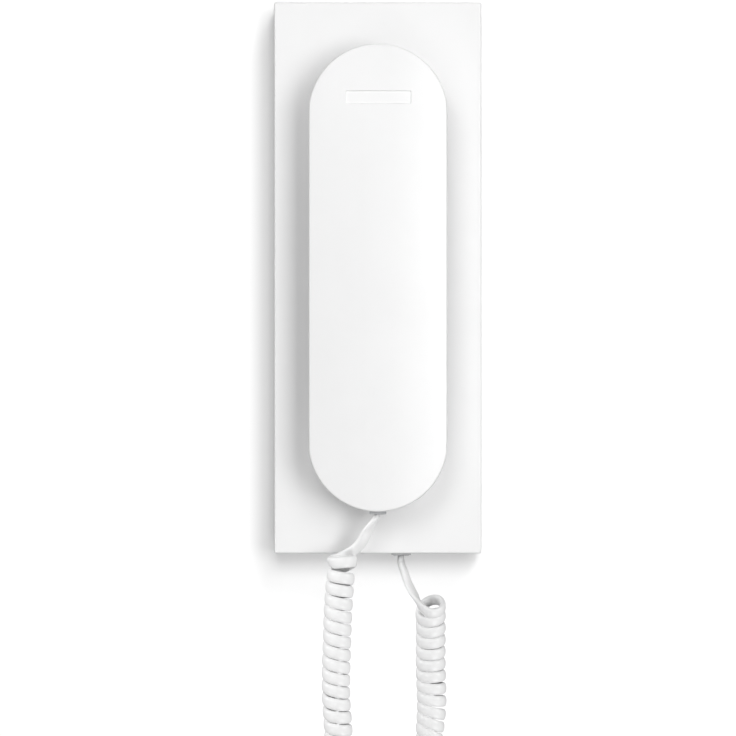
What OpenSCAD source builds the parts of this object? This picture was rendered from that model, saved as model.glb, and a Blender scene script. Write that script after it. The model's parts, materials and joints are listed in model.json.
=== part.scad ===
// Slim wall telephone of a door-entry system: a flat two-part base on the wall,
// a capsule-shaped handset hanging on it, and a curly cord between the two.
// +X is to the right, +Y goes into the wall and +Z is up. The origin lies on the
// wall plane, at the middle of the two wall screws. Millimetres.

/* [Base] */
// Width of the base
base_w = 83; // [82:0.5:88]
// Height of the base
base_h = 220.5; // [219:0.5:226]
// How far the base's middle lies below the middle of the wall screws
base_drop = 0.75; // [0.5:0.05:1]
// Depth of the base, from the wall to its front face
base_d = 18; // [18:0.1:18.4]
// Radius of the base's outline corners
base_corner_r = 1; // [0.6:0.1:2]
// Radius along the base's front edges
base_edge_r = 0.7; // [0.6:0.1:1.8]
// Wall thickness of the front cover
cover_t = 2.2; // [2:0.1:2.4]

/* [Handset] */
// Width of the handset
hs_w = 54.2; // [54:0.1:56]
// Length of the handset
hs_l = 183; // [182:0.5:185]
// Height of the handset's middle above the wall screws' middle
hs_mid_z = -1.5; // [-2:0.1:-1]
// Rise of the crowned face across the handset's width
hs_crown = 2; // [1:0.1:2.4]
// Wall thickness of the handset's shells
hs_t = 2; // [1.8:0.1:2.2]
// Radius of the ear cup
ear_r = 22; // [21.5:0.1:22]
// Radius of the mouth cup
mouth_r = 20; // [19.5:0.1:20]

/* [Mounting] */
// Distance between the two wall screws
screw_span = 60; // [60:0.5:62]
// Radius of the wall screw holes
screw_hole_r = 2.25; // [2:0.05:2.6]
// Radius of the cable entry in the rear housing
cable_hole_r = 10; // [8:0.5:10]

/* [Controls] */
// Radius of the two push buttons
button_r = 5.5; // [5:0.1:5.6]
// How far the buttons stand proud of the cover
button_proud = 1.5; // [1:0.1:1.5]

/* [Cord] */
// Outside radius of the curly cord's coil
coil_r = 5.9; // [5.5:0.1:6]
// Radius of the straight leads, whose flat section is drawn round
lead_r = 1.6; // [1.4:0.1:1.7]

/* [Hidden] */
base_top = base_h / 2 - base_drop;
base_bottom = -base_h / 2 - base_drop;
$fn = 48;

white = [0.96, 0.96, 0.96];
back_y = -2;                      // inside face of the rear housing's back wall
split_y = back_y - 0.3;           // where the front cover's skirt ends
face_y = -base_d;                 // front face of the base
inner_y = face_y + cover_t;       // inside face of the cover's front wall
pocket_y = face_y + 5;            // floor of the two cup pockets
pocket_t = 1.8;                   // thickness of the pockets' walls and floor
pocket_gap = 0.7;                 // room round a cup in its pocket
pocket_rise = 4;                  // room above a cup, for lifting it out
lift = 30;                        // slope of the way out, in degrees above the horizontal
board_y0 = -6;                    // front face of the main board
board_y1 = -4.4;                  // back face of the main board

hs_back_y = face_y - 11;          // back face of the handset's grip
hs_split_y = hs_back_y - 7.3;     // parting plane of the handset's two shells
hs_face_y = hs_back_y - 15;       // foremost line of the crowned face
arc_off = (hs_l - hs_w) / 2;      // from the handset's middle to the centres of its round ends
ear_z = hs_mid_z + arc_off - 0.9; // ear cup centre
mouth_z = hs_mid_z - arc_off - 0.1; // mouth cup centre
cup_y = pocket_y - 0.3;           // faces of the cups, just clear of the pocket floors
crown_r = (hs_w * hs_w / 4 + hs_crown * hs_crown) / (2 * hs_crown);

pivot_x = 10;
pivot_y = -11;
pivot_z = -38;
button_x = 15;
button_z = -24;
slider_x = -18;
slider_z = 19;
cover_screw_z = 17;
jack_x = 9.4;                     // cord socket in the base's bottom edge
jack_y = -10.8;
hs_jack_y = -36.5;
hs_bottom = hs_mid_z - hs_l / 2;
plug_w = 7.65;
plug_d = 6.6;

// Routes of the cord's centre line, from the handset down and back up to the base.
handset_lead_route = [[-0.4, -36.5, -94.22], [-0.4, -36.5, -95.2], [-2, -36.3, -97.4], [-3.8, -35.7, -100.4], [-5.3, -34.8, -103.6],
                      [-7.1, -33.6, -106.4], [-9.6, -32.4, -108.8], [-12.4, -31.8, -111.4], [-13, -32.2, -113]];
coil_left_route = [[-13.8, -36, -111.9], [-14.2, -36, -116], [-15.2, -36, -125], [-15.7, -36, -133], [-16.1, -36, -144],
                   [-16.4, -35.8, -154], [-16.5, -35.6, -161], [-16.4, -35.4, -168], [-15.9, -35, -175], [-15.5, -34.6, -182],
                   [-15.3, -34.2, -192], [-15.3, -33.8, -202], [-15.5, -33.4, -212], [-15.6, -33.1, -220]];
coil_right_route = [[21.4, -17.2, -129.9], [21.2, -14.9, -132.8], [21.2, -13.9, -135], [21.3, -13.1, -138.4], [21.3, -12.4, -143],
                    [21.3, -11.8, -149], [21.3, -11.3, -156], [21.6, -11.2, -165], [21.7, -11.3, -173], [21.1, -11.4, -181],
                    [20.4, -11.6, -190], [20.2, -11.8, -200], [20.4, -11.9, -210], [20.6, -12, -220]];
base_lead_route = [[9.4, -10.8, -112.12], [9.4, -10.8, -115], [10.6, -11.4, -118.7], [12.4, -12.8, -123.6], [14.8, -15.6, -128],
                   [16.4, -17.2, -130.4], [17.8, -18.2, -132.2]];
bend_c = [2.5, -22.5, -228];      // centre of the bend at the bottom
bend_r = 21;
bend_u = [0.867, 0.499, 0];       // from the handset's side to the base's side
function bend(a) = bend_c - bend_r * cos(a) * bend_u - [0, 0, bend_r * sin(a)];
left_axis = concat(coil_left_route, [for (a = [0, 18, 36, 54, 72]) bend(a)], [bend(89.55)]);
right_axis = concat(coil_right_route, [for (a = [180, 162, 144, 126, 108]) bend(a)], [bend(90.45)]);

// One polyhedron swept along points, with rings of n sides carried along without twist.
function unit(v) = v / norm(v);
function tangent(p, i, last) = let (n = len(p) - 1)
    i == 0 ? unit(p[1] - p[0]) : i == n ? (is_undef(last) ? unit(p[n] - p[n - 1]) : unit(last))
    : unit(unit(p[i + 1] - p[i]) + unit(p[i] - p[i - 1]));
// last, where given, is the direction in which the tube's last ring faces.
module tube(p, r, n, last) {
    up = [0.49, -0.87, 0];
    rings = [for (i = [0 : len(p) - 1]) let (t = tangent(p, i, last), a = unit(up - (up * t) * t), b = cross(t, a))
                [for (k = [0 : n - 1]) p[i] + r * (cos(360 * k / n) * a + sin(360 * k / n) * b)]];
    pts = [for (ring = rings) for (q = ring) q];
    m = len(p);
    sides = [for (i = [0 : m - 2]) for (k = [0 : n - 1]) let (k2 = (k + 1) % n)
                for (f = [[i * n + k, (i + 1) * n + k, (i + 1) * n + k2], [i * n + k, (i + 1) * n + k2, i * n + k2]]) f];
    polyhedron(points = pts, faces = concat([[for (k = [0 : n - 1]) k]], sides, [[for (k = [n - 1 : -1 : 0]) (m - 1) * n + k]]));
}

// Two-dimensional outlines in X and Z, extruded along Y from y0 to y1.
module yx(y0, y1) { translate([0, y1, 0]) rotate([90, 0, 0]) linear_extrude(y1 - y0) children(); }
module rr(w, h, r) {
    square([w - 2 * r, h], center = true);
    square([w, h - 2 * r], center = true);
    for (sx = [-1, 1], sz = [-1, 1]) translate([sx * (w / 2 - r), sz * (h / 2 - r)]) circle(r = r);
}
module ycyl(x, z, y0, y1, r) { translate([x, y1, z]) rotate([90, 0, 0]) cylinder(h = y1 - y0, r = r); }
module box(x0, x1, y0, y1, z0, z1) { translate([x0, y0, z0]) cube([x1 - x0, y1 - y0, z1 - z0]); }
module xcyl(x0, x1, y, z, r) { translate([x0, y, z]) rotate([0, 90, 0]) cylinder(h = x1 - x0, r = r); }
module zcyl(x, y, z0, z1, r) { translate([x, y, z0]) cylinder(h = z1 - z0, r = r); }

// A slab between y0 and y1 whose front edges (towards -Y) are rounded by r.
module soft_slab(w, h, y0, y1, rc, r) {
    intersection() {
        yx(y0, y1) rr(w, h, rc);
        translate([0, 0, -h]) linear_extrude(2 * h) front_profile(w, y0, y1, r);
        translate([w, 0, 0]) rotate([0, -90, 0]) linear_extrude(2 * w) turned_profile(h, y0, y1, r);
    }
}
module front_profile(w, y0, y1, r) {
    translate([-w / 2, y0 + r]) square([w, y1 - y0 - r + 1]);
    translate([-w / 2 + r, y0]) square([w - 2 * r, y1 - y0]);
    for (s = [-1, 1]) translate([s * (w / 2 - r), y0 + r]) circle(r = r);
}
module turned_profile(h, y0, y1, r) {
    translate([-h / 2, y0 + r]) square([h, y1 - y0 - r + 1]);
    translate([-h / 2 + r, y0]) square([h - 2 * r, y1 - y0]);
    for (s = [-1, 1]) translate([s * (h / 2 - r), y0 + r]) circle(r = r);
}

// A cup pocket's outline: the cup with its gap, drawn out upward.
module pocket_outline(r, grow) {
    circle(r = r + grow, $fn = 96);
    translate([0, pocket_rise]) circle(r = r + grow, $fn = 96);
    translate([-(r + grow), 0]) square([2 * (r + grow), pocket_rise]);
}
// The ramp at the bottom of a pocket, parallel to the handset's way out.
module ramp(zb, x) {
    rise = (pocket_y - face_y) * tan(lift);
    translate([-x, 0, 0]) rotate([90, 0, 90]) linear_extrude(2 * x)
        polygon([[pocket_y + 0.5, zb - 0.5 * tan(lift)], [face_y, zb + rise], [face_y, zb - 3], [pocket_y + 0.5, zb - 3]]);
}
// The same slope on a cup, cut back to leave a gap.
module cup_slope(zb, x) {
    y_out = face_y - 0.35;
    translate([-x, 0, 0]) rotate([90, 0, 90]) linear_extrude(2 * x)
        polygon([[pocket_y + 1, zb - tan(lift)], [y_out, zb + (pocket_y - y_out) * tan(lift)], [y_out, zb - 4], [pocket_y + 1, zb - 4]]);
}

// ---- base ----
module rear_housing() {
    color(white) difference() {
        union() {
            yx(back_y, 0) translate([0, -base_drop]) rr(base_w, base_h, base_corner_r);
            difference() {
                yx(-6, back_y + 0.1) translate([0, -base_drop]) rr(base_w - 2 * cover_t - 0.3, base_h - 2 * cover_t - 0.3, 0.8);
                yx(-7, back_y + 0.2) translate([0, -base_drop]) square([base_w - 2 * cover_t - 3.5, base_h - 2 * cover_t - 3.5], center = true);
            }
            for (s = [-1, 1]) ycyl(0, s * screw_span / 2, -4, back_y + 0.1, 5.5);
            for (p = board_posts) ycyl(p[0], p[1], board_y1 + 0.02, back_y + 0.1, 2.6);
            ycyl(0, cover_screw_z, -12.5, back_y + 0.1, 3.4);
            difference() {
                ycyl(20, 16, -5, back_y + 0.1, 13.4);
                ycyl(20, 16, -5.1, back_y + 0.2, 12.2);
            }
            // hooks that hold the cover's top edge
            for (s = [-1, 1]) box(s * 22 - 5, s * 22 + 5, -10, -5.9, base_top - cover_t - 1.75, base_top - cover_t - 0.35);
            for (s = [-1, 1]) box(s * 22 - 5, s * 22 + 5, -10, -8.6, base_top - cover_t - 1.75, base_top - cover_t + 0.75);
        }
        for (s = [-1, 1]) ycyl(0, s * screw_span / 2, -5, 1, screw_hole_r);
        ycyl(0, 0, -5, 1, cable_hole_r);
        for (p = board_posts) ycyl(p[0], p[1], -5, -2.2, 0.95);
        ycyl(0, cover_screw_z, -13, -4, 1.25);
        box(jack_x - 5.8, jack_x + 5.8, -7, back_y, base_bottom, base_bottom + 5);
    }
}
board_posts = [[-32, -100], [32, -100], [-32, -18], [32, -18]];

module front_cover() {
    color(white) difference() {
        union() {
            difference() {
                translate([0, 0, -base_drop]) soft_slab(base_w, base_h, face_y, split_y, base_corner_r, base_edge_r);
                box(-base_w / 2 + cover_t, base_w / 2 - cover_t, inner_y, 1, base_bottom + cover_t, base_top - cover_t);
            }
            for (c = [[ear_z, ear_r], [mouth_z, mouth_r]])
                yx(face_y + 0.6, pocket_y + pocket_t) translate([0, c[0]]) pocket_outline(c[1] + pocket_gap, pocket_t);
            // the lever's two lugs
            for (x = [[4.6, 6.3], [12.6, 14.3]]) {
                box(x[0], x[1], inner_y - 0.1, pivot_y, pivot_z - 2.2, pivot_z + 2.2);
                xcyl(x[0], x[1], pivot_y, pivot_z, 2.2);
            }
            // sleeve round the cover screw
            ycyl(0, cover_screw_z, inner_y - 0.1, -12.7, 4.4);
            // guide sleeves of the buttons
            for (s = [-1, 1]) difference() {
                ycyl(s * button_x, button_z, inner_y - 0.1, -12.6, button_r + 2.2);
                ycyl(s * button_x, button_z, inner_y - 0.2, -12.5, button_r + 1.1);
            }
        }
        for (c = [[ear_z, ear_r], [mouth_z, mouth_r]]) difference() {
            yx(face_y - 1, pocket_y) translate([0, c[0]]) pocket_outline(c[1] + pocket_gap, 0);
            ramp(c[0] - c[1] - pocket_gap, c[1] + 3);
        }
        for (x = [4.6, 12.6]) xcyl(x - 0.1, x + 1.8, pivot_y, pivot_z, 1.03);
        // slot for the hook lever's finger
        box(pivot_x - 2.4, pivot_x + 2.4, pocket_y - 1.4, pocket_y + 2.4, -55.2, -40.4);
        for (s = [-1, 1]) ycyl(s * button_x, button_z, face_y - 1, inner_y + 1, button_r + 0.3);
        box(slider_x - 1.8, slider_x + 1.8, face_y - 1, inner_y + 1, slider_z - 5.6, slider_z + 5.6);
        // counterbore and hole of the cover screw
        ycyl(0, cover_screw_z, face_y - 1, -14.4, 3.1);
        ycyl(0, cover_screw_z, face_y - 1, -12, 1.6);
        // sound slots of the sounder
        for (i = [0 : 4]) box(11 + i * 3, 12.2 + i * 3, face_y - 1, inner_y + 1, 9, 23);
        // notches for the rear housing's hooks
        for (s = [-1, 1]) box(s * 22 - 5.6, s * 22 + 5.6, -11, -8, base_top - cover_t - 1, base_top - cover_t + 1.2);
        // opening for the cord socket
        box(jack_x - 4.1, jack_x + 4.1, jack_y - 4.6, jack_y + 4.6, base_bottom - 1, base_bottom + cover_t + 1);
    }
}

module main_board() {
    color([0.1, 0.36, 0.2]) difference() {
        union() {
            box(-36, 36, board_y0, board_y1, -106, -12.5);
            box(-36, -12, board_y0, board_y1, -12.6, 34);
        }
        ycyl(0, -screw_span / 2, -7, -4, 6.5);
        for (p = board_posts) ycyl(p[0], p[1], -7, -4, 1.1);
    }
}

module board_parts() {
    y = board_y0 - 0.03;
    color([0.16, 0.16, 0.18]) {
        for (c = [[-30, -34, 3.1], [30, -34, 3.1], [-30, -86, 2.5], [31, -88, 2.5]]) ycyl(c[0], c[1], y - 8, y, c[2]);
        box(-34, -24, y - 7, y, -55, -44);
        box(-6, 4, y - 1.8, y, -72, -60);
        box(12, 18, y - 1.6, y, -80, -75);
        box(-33, -22, y - 2.6, y, -6, 4);
        box(24, 34, y - 5, y, -56, -46);
    }
}

module board_screws() {
    color([0.75, 0.75, 0.77]) for (p = board_posts) {
        ycyl(p[0], p[1], -7.5, board_y0 - 0.02, 1.9);
        ycyl(p[0], p[1], board_y0 - 0.1, -2.6, 0.9);
    }
}

module terminal_block() {
    y = board_y0 - 0.03;
    color([0.25, 0.5, 0.32]) difference() {
        box(-7.2, 7.2, y - 8, y, -22.4, -13.6);
        for (i = [0 : 3]) {
            ycyl(-5.25 + i * 3.5, -18, y - 9, y - 1.5, 1.45);
            zcyl(-5.25 + i * 3.5, y - 2.6, -18, -12, 1.1);
        }
    }
}

module terminal_screws() {
    y = board_y0 - 0.03;
    color([0.8, 0.8, 0.82]) for (i = [0 : 3]) ycyl(-5.25 + i * 3.5, -18, y - 7.6, y - 3.8, 1.38);
}

module sounder() {
    color([0.13, 0.13, 0.14]) difference() {
        ycyl(20, 16, -12, back_y - 0.05, 12.1);
        ycyl(20, 16, -13, -10.5, 1.5);
        ycyl(20, 16, -12.2, -11.3, 8);
    }
}

module hook_switch_body() {
    color([0.1, 0.1, 0.1]) difference() {
        box(pivot_x - 3, pivot_x + 3, -8.5, board_y0 - 0.03, -37.5, -31.5);
        ycyl(pivot_x, -34.5, -9, -6.3, 0.85);
    }
}

module hook_switch_plunger() {
    color([0.75, 0.15, 0.1]) ycyl(pivot_x, -34.5, -10.04, -7.4, 0.8);
}

module hook_lever() {
    color([0.92, 0.92, 0.9]) difference() {
        union() {
            xcyl(pivot_x - 2, pivot_x + 2, pivot_y, pivot_z, 2.2);
            box(pivot_x - 2, pivot_x + 2, -10.9, -9.4, -54, pivot_z);
            box(pivot_x - 2, pivot_x + 2, cup_y + 0.3, -9.4, -54, -50.4);
            box(pivot_x - 2, pivot_x + 2, -12, -10.1, pivot_z, pivot_z + 4.6);
        }
        xcyl(pivot_x - 3, pivot_x + 3, pivot_y, pivot_z, 1.05);
    }
}

module hook_pin() {
    color([0.7, 0.7, 0.72]) xcyl(4.4, 14.5, pivot_y, pivot_z, 1);
}

module hook_spring() {
    color([0.6, 0.6, 0.62]) difference() {
        union() {
            xcyl(6.5, 7.75, pivot_y, pivot_z, 1.9);
            zcyl(7.2, -9.12, -46.2, pivot_z, 0.24);
            xcyl(7.2, 9.6, -9.12, -46, 0.24);
            translate([7.2, -15.65, pivot_z + 1.6]) rotate([-90, 0, 0]) cylinder(h = 4.65, r = 0.24);
        }
        xcyl(6, 8, pivot_y, pivot_z, 1.3);
    }
}

module push_button(x) {
    ycyl(x, button_z, face_y - button_proud, -14.3, button_r);
    ycyl(x, button_z, inner_y + 0.2, -14.3, button_r + 0.9);
    ycyl(x, button_z, -14.4, -9.45, 2);
}
module door_release_button() { color([0.94, 0.94, 0.94]) push_button(-button_x); }
module auxiliary_button() { color([0.94, 0.94, 0.94]) push_button(button_x); }

module dome(x) {
    y = board_y0 - 0.03;
    difference() {
        union() {
            ycyl(x, button_z, y - 1, y, 4.2);
            translate([x, y - 0.9, button_z]) rotate([90, 0, 0]) cylinder(h = 2.5, r1 = 3.6, r2 = 2);
        }
        translate([x, y + 0.1, button_z]) rotate([90, 0, 0]) cylinder(h = 2.4, r1 = 3, r2 = 1.5);
    }
}
module door_button_dome() { color([0.75, 0.75, 0.75]) dome(-button_x); }
module auxiliary_button_dome() { color([0.75, 0.75, 0.75]) dome(button_x); }

module volume_switch_body() {
    color([0.15, 0.15, 0.15]) difference() {
        box(slider_x - 3.6, slider_x + 3.6, -10.5, board_y0 - 0.03, slider_z - 8, slider_z + 8);
        box(slider_x - 1.3, slider_x + 1.3, -11, -8, slider_z - 6, slider_z + 6);
    }
}

module volume_slider() {
    color([0.94, 0.94, 0.94]) {
        box(slider_x - 1.1, slider_x + 1.1, -15, -8.3, slider_z + 1, slider_z + 5);
        box(slider_x - 1.5, slider_x + 1.5, face_y - 0.7, -14.9, slider_z + 1, slider_z + 5);
    }
}

module cover_screw() {
    color([0.75, 0.75, 0.77]) {
        difference() {
            ycyl(0, cover_screw_z, -16.3, -14.45, 2.8);
            box(-0.4, 0.4, -17, -15.5, cover_screw_z - 1.8, cover_screw_z + 1.8);
            box(-1.8, 1.8, -17, -15.5, cover_screw_z - 0.4, cover_screw_z + 0.4);
        }
        ycyl(0, cover_screw_z, -14.5, -5, 1.2);
    }
}

// A four-way cord socket with its mouth facing down, for a plug w wide in X and d deep in Y.
module cord_jack(x, y, w, d, half, z_mouth, y_front, y_back, collar = 0) {
    difference() {
        union() {
            box(x - half, x + half, y_front, y_back, z_mouth, z_mouth + 13);
            if (collar > 0) box(x - w / 2 - 0.6, x + w / 2 + 0.6, y - d / 2 - 0.6, y + d / 2 + 0.6, z_mouth - collar, z_mouth + 0.1);
        }
        box(x - w / 2 - 0.15, x + w / 2 + 0.15, y - d / 2 - 0.15, y + d / 2 + 0.15, z_mouth - collar - 1, z_mouth + 11.5);
    }
}
module base_jack() { color([0.2, 0.2, 0.2]) cord_jack(jack_x, jack_y, plug_d, plug_w, 5.5, base_bottom + cover_t + 0.1, -15.5, board_y0 - 0.03, 3.1); }

// ---- handset ----
module stadium(d) {
    translate([0, arc_off]) circle(r = hs_w / 2 - d, $fn = 128);
    translate([0, -arc_off]) circle(r = hs_w / 2 - d, $fn = 128);
    square([hs_w - 2 * d, 2 * arc_off], center = true);
}
// Everything behind the crowned face, which is part of an upright cylinder.
module crowned(depth) { translate([0, hs_face_y + depth + crown_r - depth, -150]) cylinder(h = 300, r = crown_r - depth, $fn = 256); }
hs_screws = [35, -41];

module handset_front_shell() {
    color(white) difference() {
        union() {
            difference() {
                intersection() {
                    yx(hs_face_y - 1, hs_split_y - 0.3) translate([0, hs_mid_z]) stadium(0);
                    crowned(0);
                }
                intersection() {
                    yx(hs_face_y - 1, hs_split_y) translate([0, hs_mid_z]) stadium(hs_t);
                    crowned(hs_t);
                }
            }
            for (z = hs_screws) ycyl(0, z, hs_face_y + 1, hs_split_y - 0.3, 3.2);
        }
        for (z = hs_screws) ycyl(0, z, -41.2, hs_split_y + 1, 1.25);
        // bare, shallow recess near the top of the face
        difference() {
            yx(hs_face_y - 1, hs_face_y + 2) translate([0.2, 69]) rr(25.4, 5, 0.8);
            crowned(0.4);
        }
        box(-3.6, 3.6, hs_jack_y - 4.1, hs_jack_y + 4.1, hs_bottom - 1, hs_bottom + hs_t + 0.6);
    }
}

// A cup's inside, with a flat bottom that keeps a wall behind the slope.
module cup_cavity(z, r) {
    difference() {
        ycyl(0, z, hs_split_y, cup_y - 1.8, r);
        box(-r, r, face_y - 2.2, cup_y, z - r - 1, z - r + 2.3);
    }
}

module handset_rear_shell() {
    color(white) difference() {
        union() {
            yx(hs_split_y, hs_back_y) translate([0, hs_mid_z]) stadium(0);
            ycyl(0, ear_z, hs_back_y - 0.5, cup_y, ear_r);
            ycyl(0, mouth_z, hs_back_y - 0.5, cup_y, mouth_r);
        }
        difference() {
            yx(hs_split_y - 1, hs_back_y - hs_t) translate([0, hs_mid_z]) stadium(hs_t);
            for (z = hs_screws) ycyl(0, z, hs_split_y - 2, hs_back_y, 4.2);
        }
        cup_cavity(ear_z, ear_r - 2);
        cup_cavity(mouth_z, mouth_r - 2);
        cup_slope(ear_z - ear_r - pocket_gap + 0.35, ear_r + 3);
        cup_slope(mouth_z - mouth_r - pocket_gap + 0.35, mouth_r + 3);
        for (z = hs_screws) {
            ycyl(0, z, hs_back_y - 2.4, hs_back_y + 1, 2.8);
            ycyl(0, z, hs_split_y - 1, hs_back_y, 1.35);
        }
        // sound holes: two rings and a centre hole at the ear, one ring at the mouth
        ycyl(0, ear_z, cup_y - 3, cup_y + 1, 0.9);
        for (i = [0 : 5]) ycyl(4.5 * cos(60 * i), ear_z + 4.5 * sin(60 * i), cup_y - 3, cup_y + 1, 0.9);
        for (i = [0 : 11]) ycyl(9 * cos(30 * i), ear_z + 9 * sin(30 * i), cup_y - 3, cup_y + 1, 0.9);
        ycyl(0, mouth_z, cup_y - 3, cup_y + 1, 0.8);
        for (i = [0 : 5]) ycyl(3.4 * cos(60 * i), mouth_z + 3.4 * sin(60 * i), cup_y - 3, cup_y + 1, 0.8);
        box(-3.6, 3.6, hs_jack_y - 4.1, hs_jack_y + 4.1, hs_bottom - 1, hs_bottom + hs_t + 0.6);
    }
}

module handset_screws() {
    color([0.75, 0.75, 0.77]) for (z = hs_screws) {
        difference() {
            ycyl(0, z, hs_back_y - 2.38, hs_back_y - 0.6, 2.6);
            box(-0.4, 0.4, hs_back_y - 1.4, hs_back_y, z - 1.7, z + 1.7);
            box(-1.7, 1.7, hs_back_y - 1.4, hs_back_y, z - 0.4, z + 0.4);
        }
        ycyl(0, z, -40.8, hs_back_y - 2.3, 1.2);
    }
}

module receiver_capsule() {
    color([0.2, 0.2, 0.22]) difference() {
        union() {
            ycyl(0, ear_z, -21.5, cup_y - 3.05, 17.6);
            ycyl(0, ear_z, -27, -21.4, 11);
        }
        ycyl(0, ear_z, -17.2, cup_y, 13);
    }
}

module receiver_gasket() {
    color([0.1, 0.1, 0.1]) difference() {
        ycyl(0, ear_z, cup_y - 3, cup_y - 1.85, 17.6);
        ycyl(0, ear_z, cup_y - 4, cup_y - 1, 13.5);
    }
}

module microphone_boot() {
    color([0.12, 0.12, 0.12]) difference() {
        ycyl(0, mouth_z, -23.5, cup_y - 1.85, 6.6);
        ycyl(0, mouth_z, -24, cup_y - 3.4, 4.9);
        ycyl(0, mouth_z, -24, cup_y, 2.6);
    }
}

module microphone_capsule() { color([0.8, 0.8, 0.82]) ycyl(0, mouth_z, -23.2, cup_y - 3.45, 4.85); }

module ballast_weight() {
    color([0.55, 0.55, 0.57]) yx(hs_split_y + 1.3, hs_back_y - hs_t - 0.05) translate([0, -2]) rr(26, 56, 3);
}

module handset_jack() { color([0.2, 0.2, 0.2]) cord_jack(0, hs_jack_y, plug_d, plug_w, 5, hs_bottom + hs_t + 0.7, hs_jack_y - 4.9, hs_back_y - hs_t - 0.1); }

module handset_wires() {
    color([0.7, 0.1, 0.1]) {
        box(16, 19, hs_back_y - hs_t - 1, hs_back_y - hs_t - 0.1, -76, 38);
        box(5.3, 19, hs_back_y - hs_t - 1, hs_back_y - hs_t - 0.1, -79, -76);
        box(16, 19, hs_back_y - hs_t - 1, hs_back_y - hs_t - 0.1, 38, 46);
    }
}

// ---- cord ----
// A flat four-way cord plug with its cord leaving downward.
module cord_plug(x, y, w, d, z_end, z_top) {
    box(x - w / 2, x + w / 2, y - d / 2, y + d / 2, z_end, z_top);
}
module handset_plug() { color([0.93, 0.93, 0.93]) cord_plug(0, hs_jack_y, plug_d, plug_w, -94.2, hs_bottom + 13); }
module base_plug() { color([0.93, 0.93, 0.93]) cord_plug(jack_x, jack_y, plug_d, plug_w, -112.1, base_bottom + 13); }
module cord_handset_lead() { color(white) tube(handset_lead_route, lead_r, 8); }
module cord_base_lead() { color(white) tube(base_lead_route, lead_r, 8); }
module cord_coil_handset_side() { color(white) tube(left_axis, coil_r, 12, bend_u); }
module cord_coil_base_side() { color(white) tube(right_axis, coil_r, 12, -bend_u); }

rear_housing();
front_cover();
main_board();
board_parts();
board_screws();
terminal_block();
terminal_screws();
sounder();
hook_switch_body();
hook_switch_plunger();
hook_lever();
hook_pin();
hook_spring();
door_release_button();
door_button_dome();
auxiliary_button();
auxiliary_button_dome();
volume_switch_body();
volume_slider();
cover_screw();
base_jack();
handset_front_shell();
handset_rear_shell();
handset_screws();
receiver_capsule();
receiver_gasket();
microphone_capsule();
microphone_boot();
ballast_weight();
handset_jack();
handset_wires();
handset_plug();
cord_handset_lead();
cord_coil_handset_side();
cord_coil_base_side();
cord_base_lead();
base_plug();
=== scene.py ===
import json
import math

import bpy
import bmesh
import numpy as np
from mathutils import Matrix, Vector


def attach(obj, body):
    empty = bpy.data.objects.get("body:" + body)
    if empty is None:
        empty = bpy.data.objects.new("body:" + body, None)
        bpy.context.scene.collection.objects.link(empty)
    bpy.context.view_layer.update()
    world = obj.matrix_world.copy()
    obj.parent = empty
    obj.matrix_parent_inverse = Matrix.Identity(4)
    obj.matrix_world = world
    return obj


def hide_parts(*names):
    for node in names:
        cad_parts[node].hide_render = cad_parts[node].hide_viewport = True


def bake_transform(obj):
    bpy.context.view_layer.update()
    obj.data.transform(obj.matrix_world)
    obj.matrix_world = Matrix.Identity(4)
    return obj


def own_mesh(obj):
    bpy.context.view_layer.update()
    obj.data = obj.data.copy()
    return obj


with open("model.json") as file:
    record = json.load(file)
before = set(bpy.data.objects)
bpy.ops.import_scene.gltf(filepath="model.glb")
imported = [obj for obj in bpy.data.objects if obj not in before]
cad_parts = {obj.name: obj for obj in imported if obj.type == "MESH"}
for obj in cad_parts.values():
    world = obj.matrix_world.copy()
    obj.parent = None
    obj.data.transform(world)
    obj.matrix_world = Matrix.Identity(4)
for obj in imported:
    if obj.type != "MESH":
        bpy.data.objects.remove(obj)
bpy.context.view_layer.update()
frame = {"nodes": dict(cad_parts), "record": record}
nodes = frame["nodes"]
MM = 0.001


# ------------------------------------------------------------------ camera
# The view is square on to the wall, level with a point below the base's middle.
cam_data = bpy.data.cameras.new("camera")
cam_data.lens = 134.5
cam_data.sensor_width = 36.0
cam_data.clip_start = 0.05
cam_data.clip_end = 20.0
cam = bpy.data.objects.new("camera", cam_data)
bpy.context.scene.collection.objects.link(cam)
cam.location = (-0.0039, -1.118, -0.0368)
cam.rotation_euler = (math.radians(90), 0, 0)
bpy.context.scene.camera = cam


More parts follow.
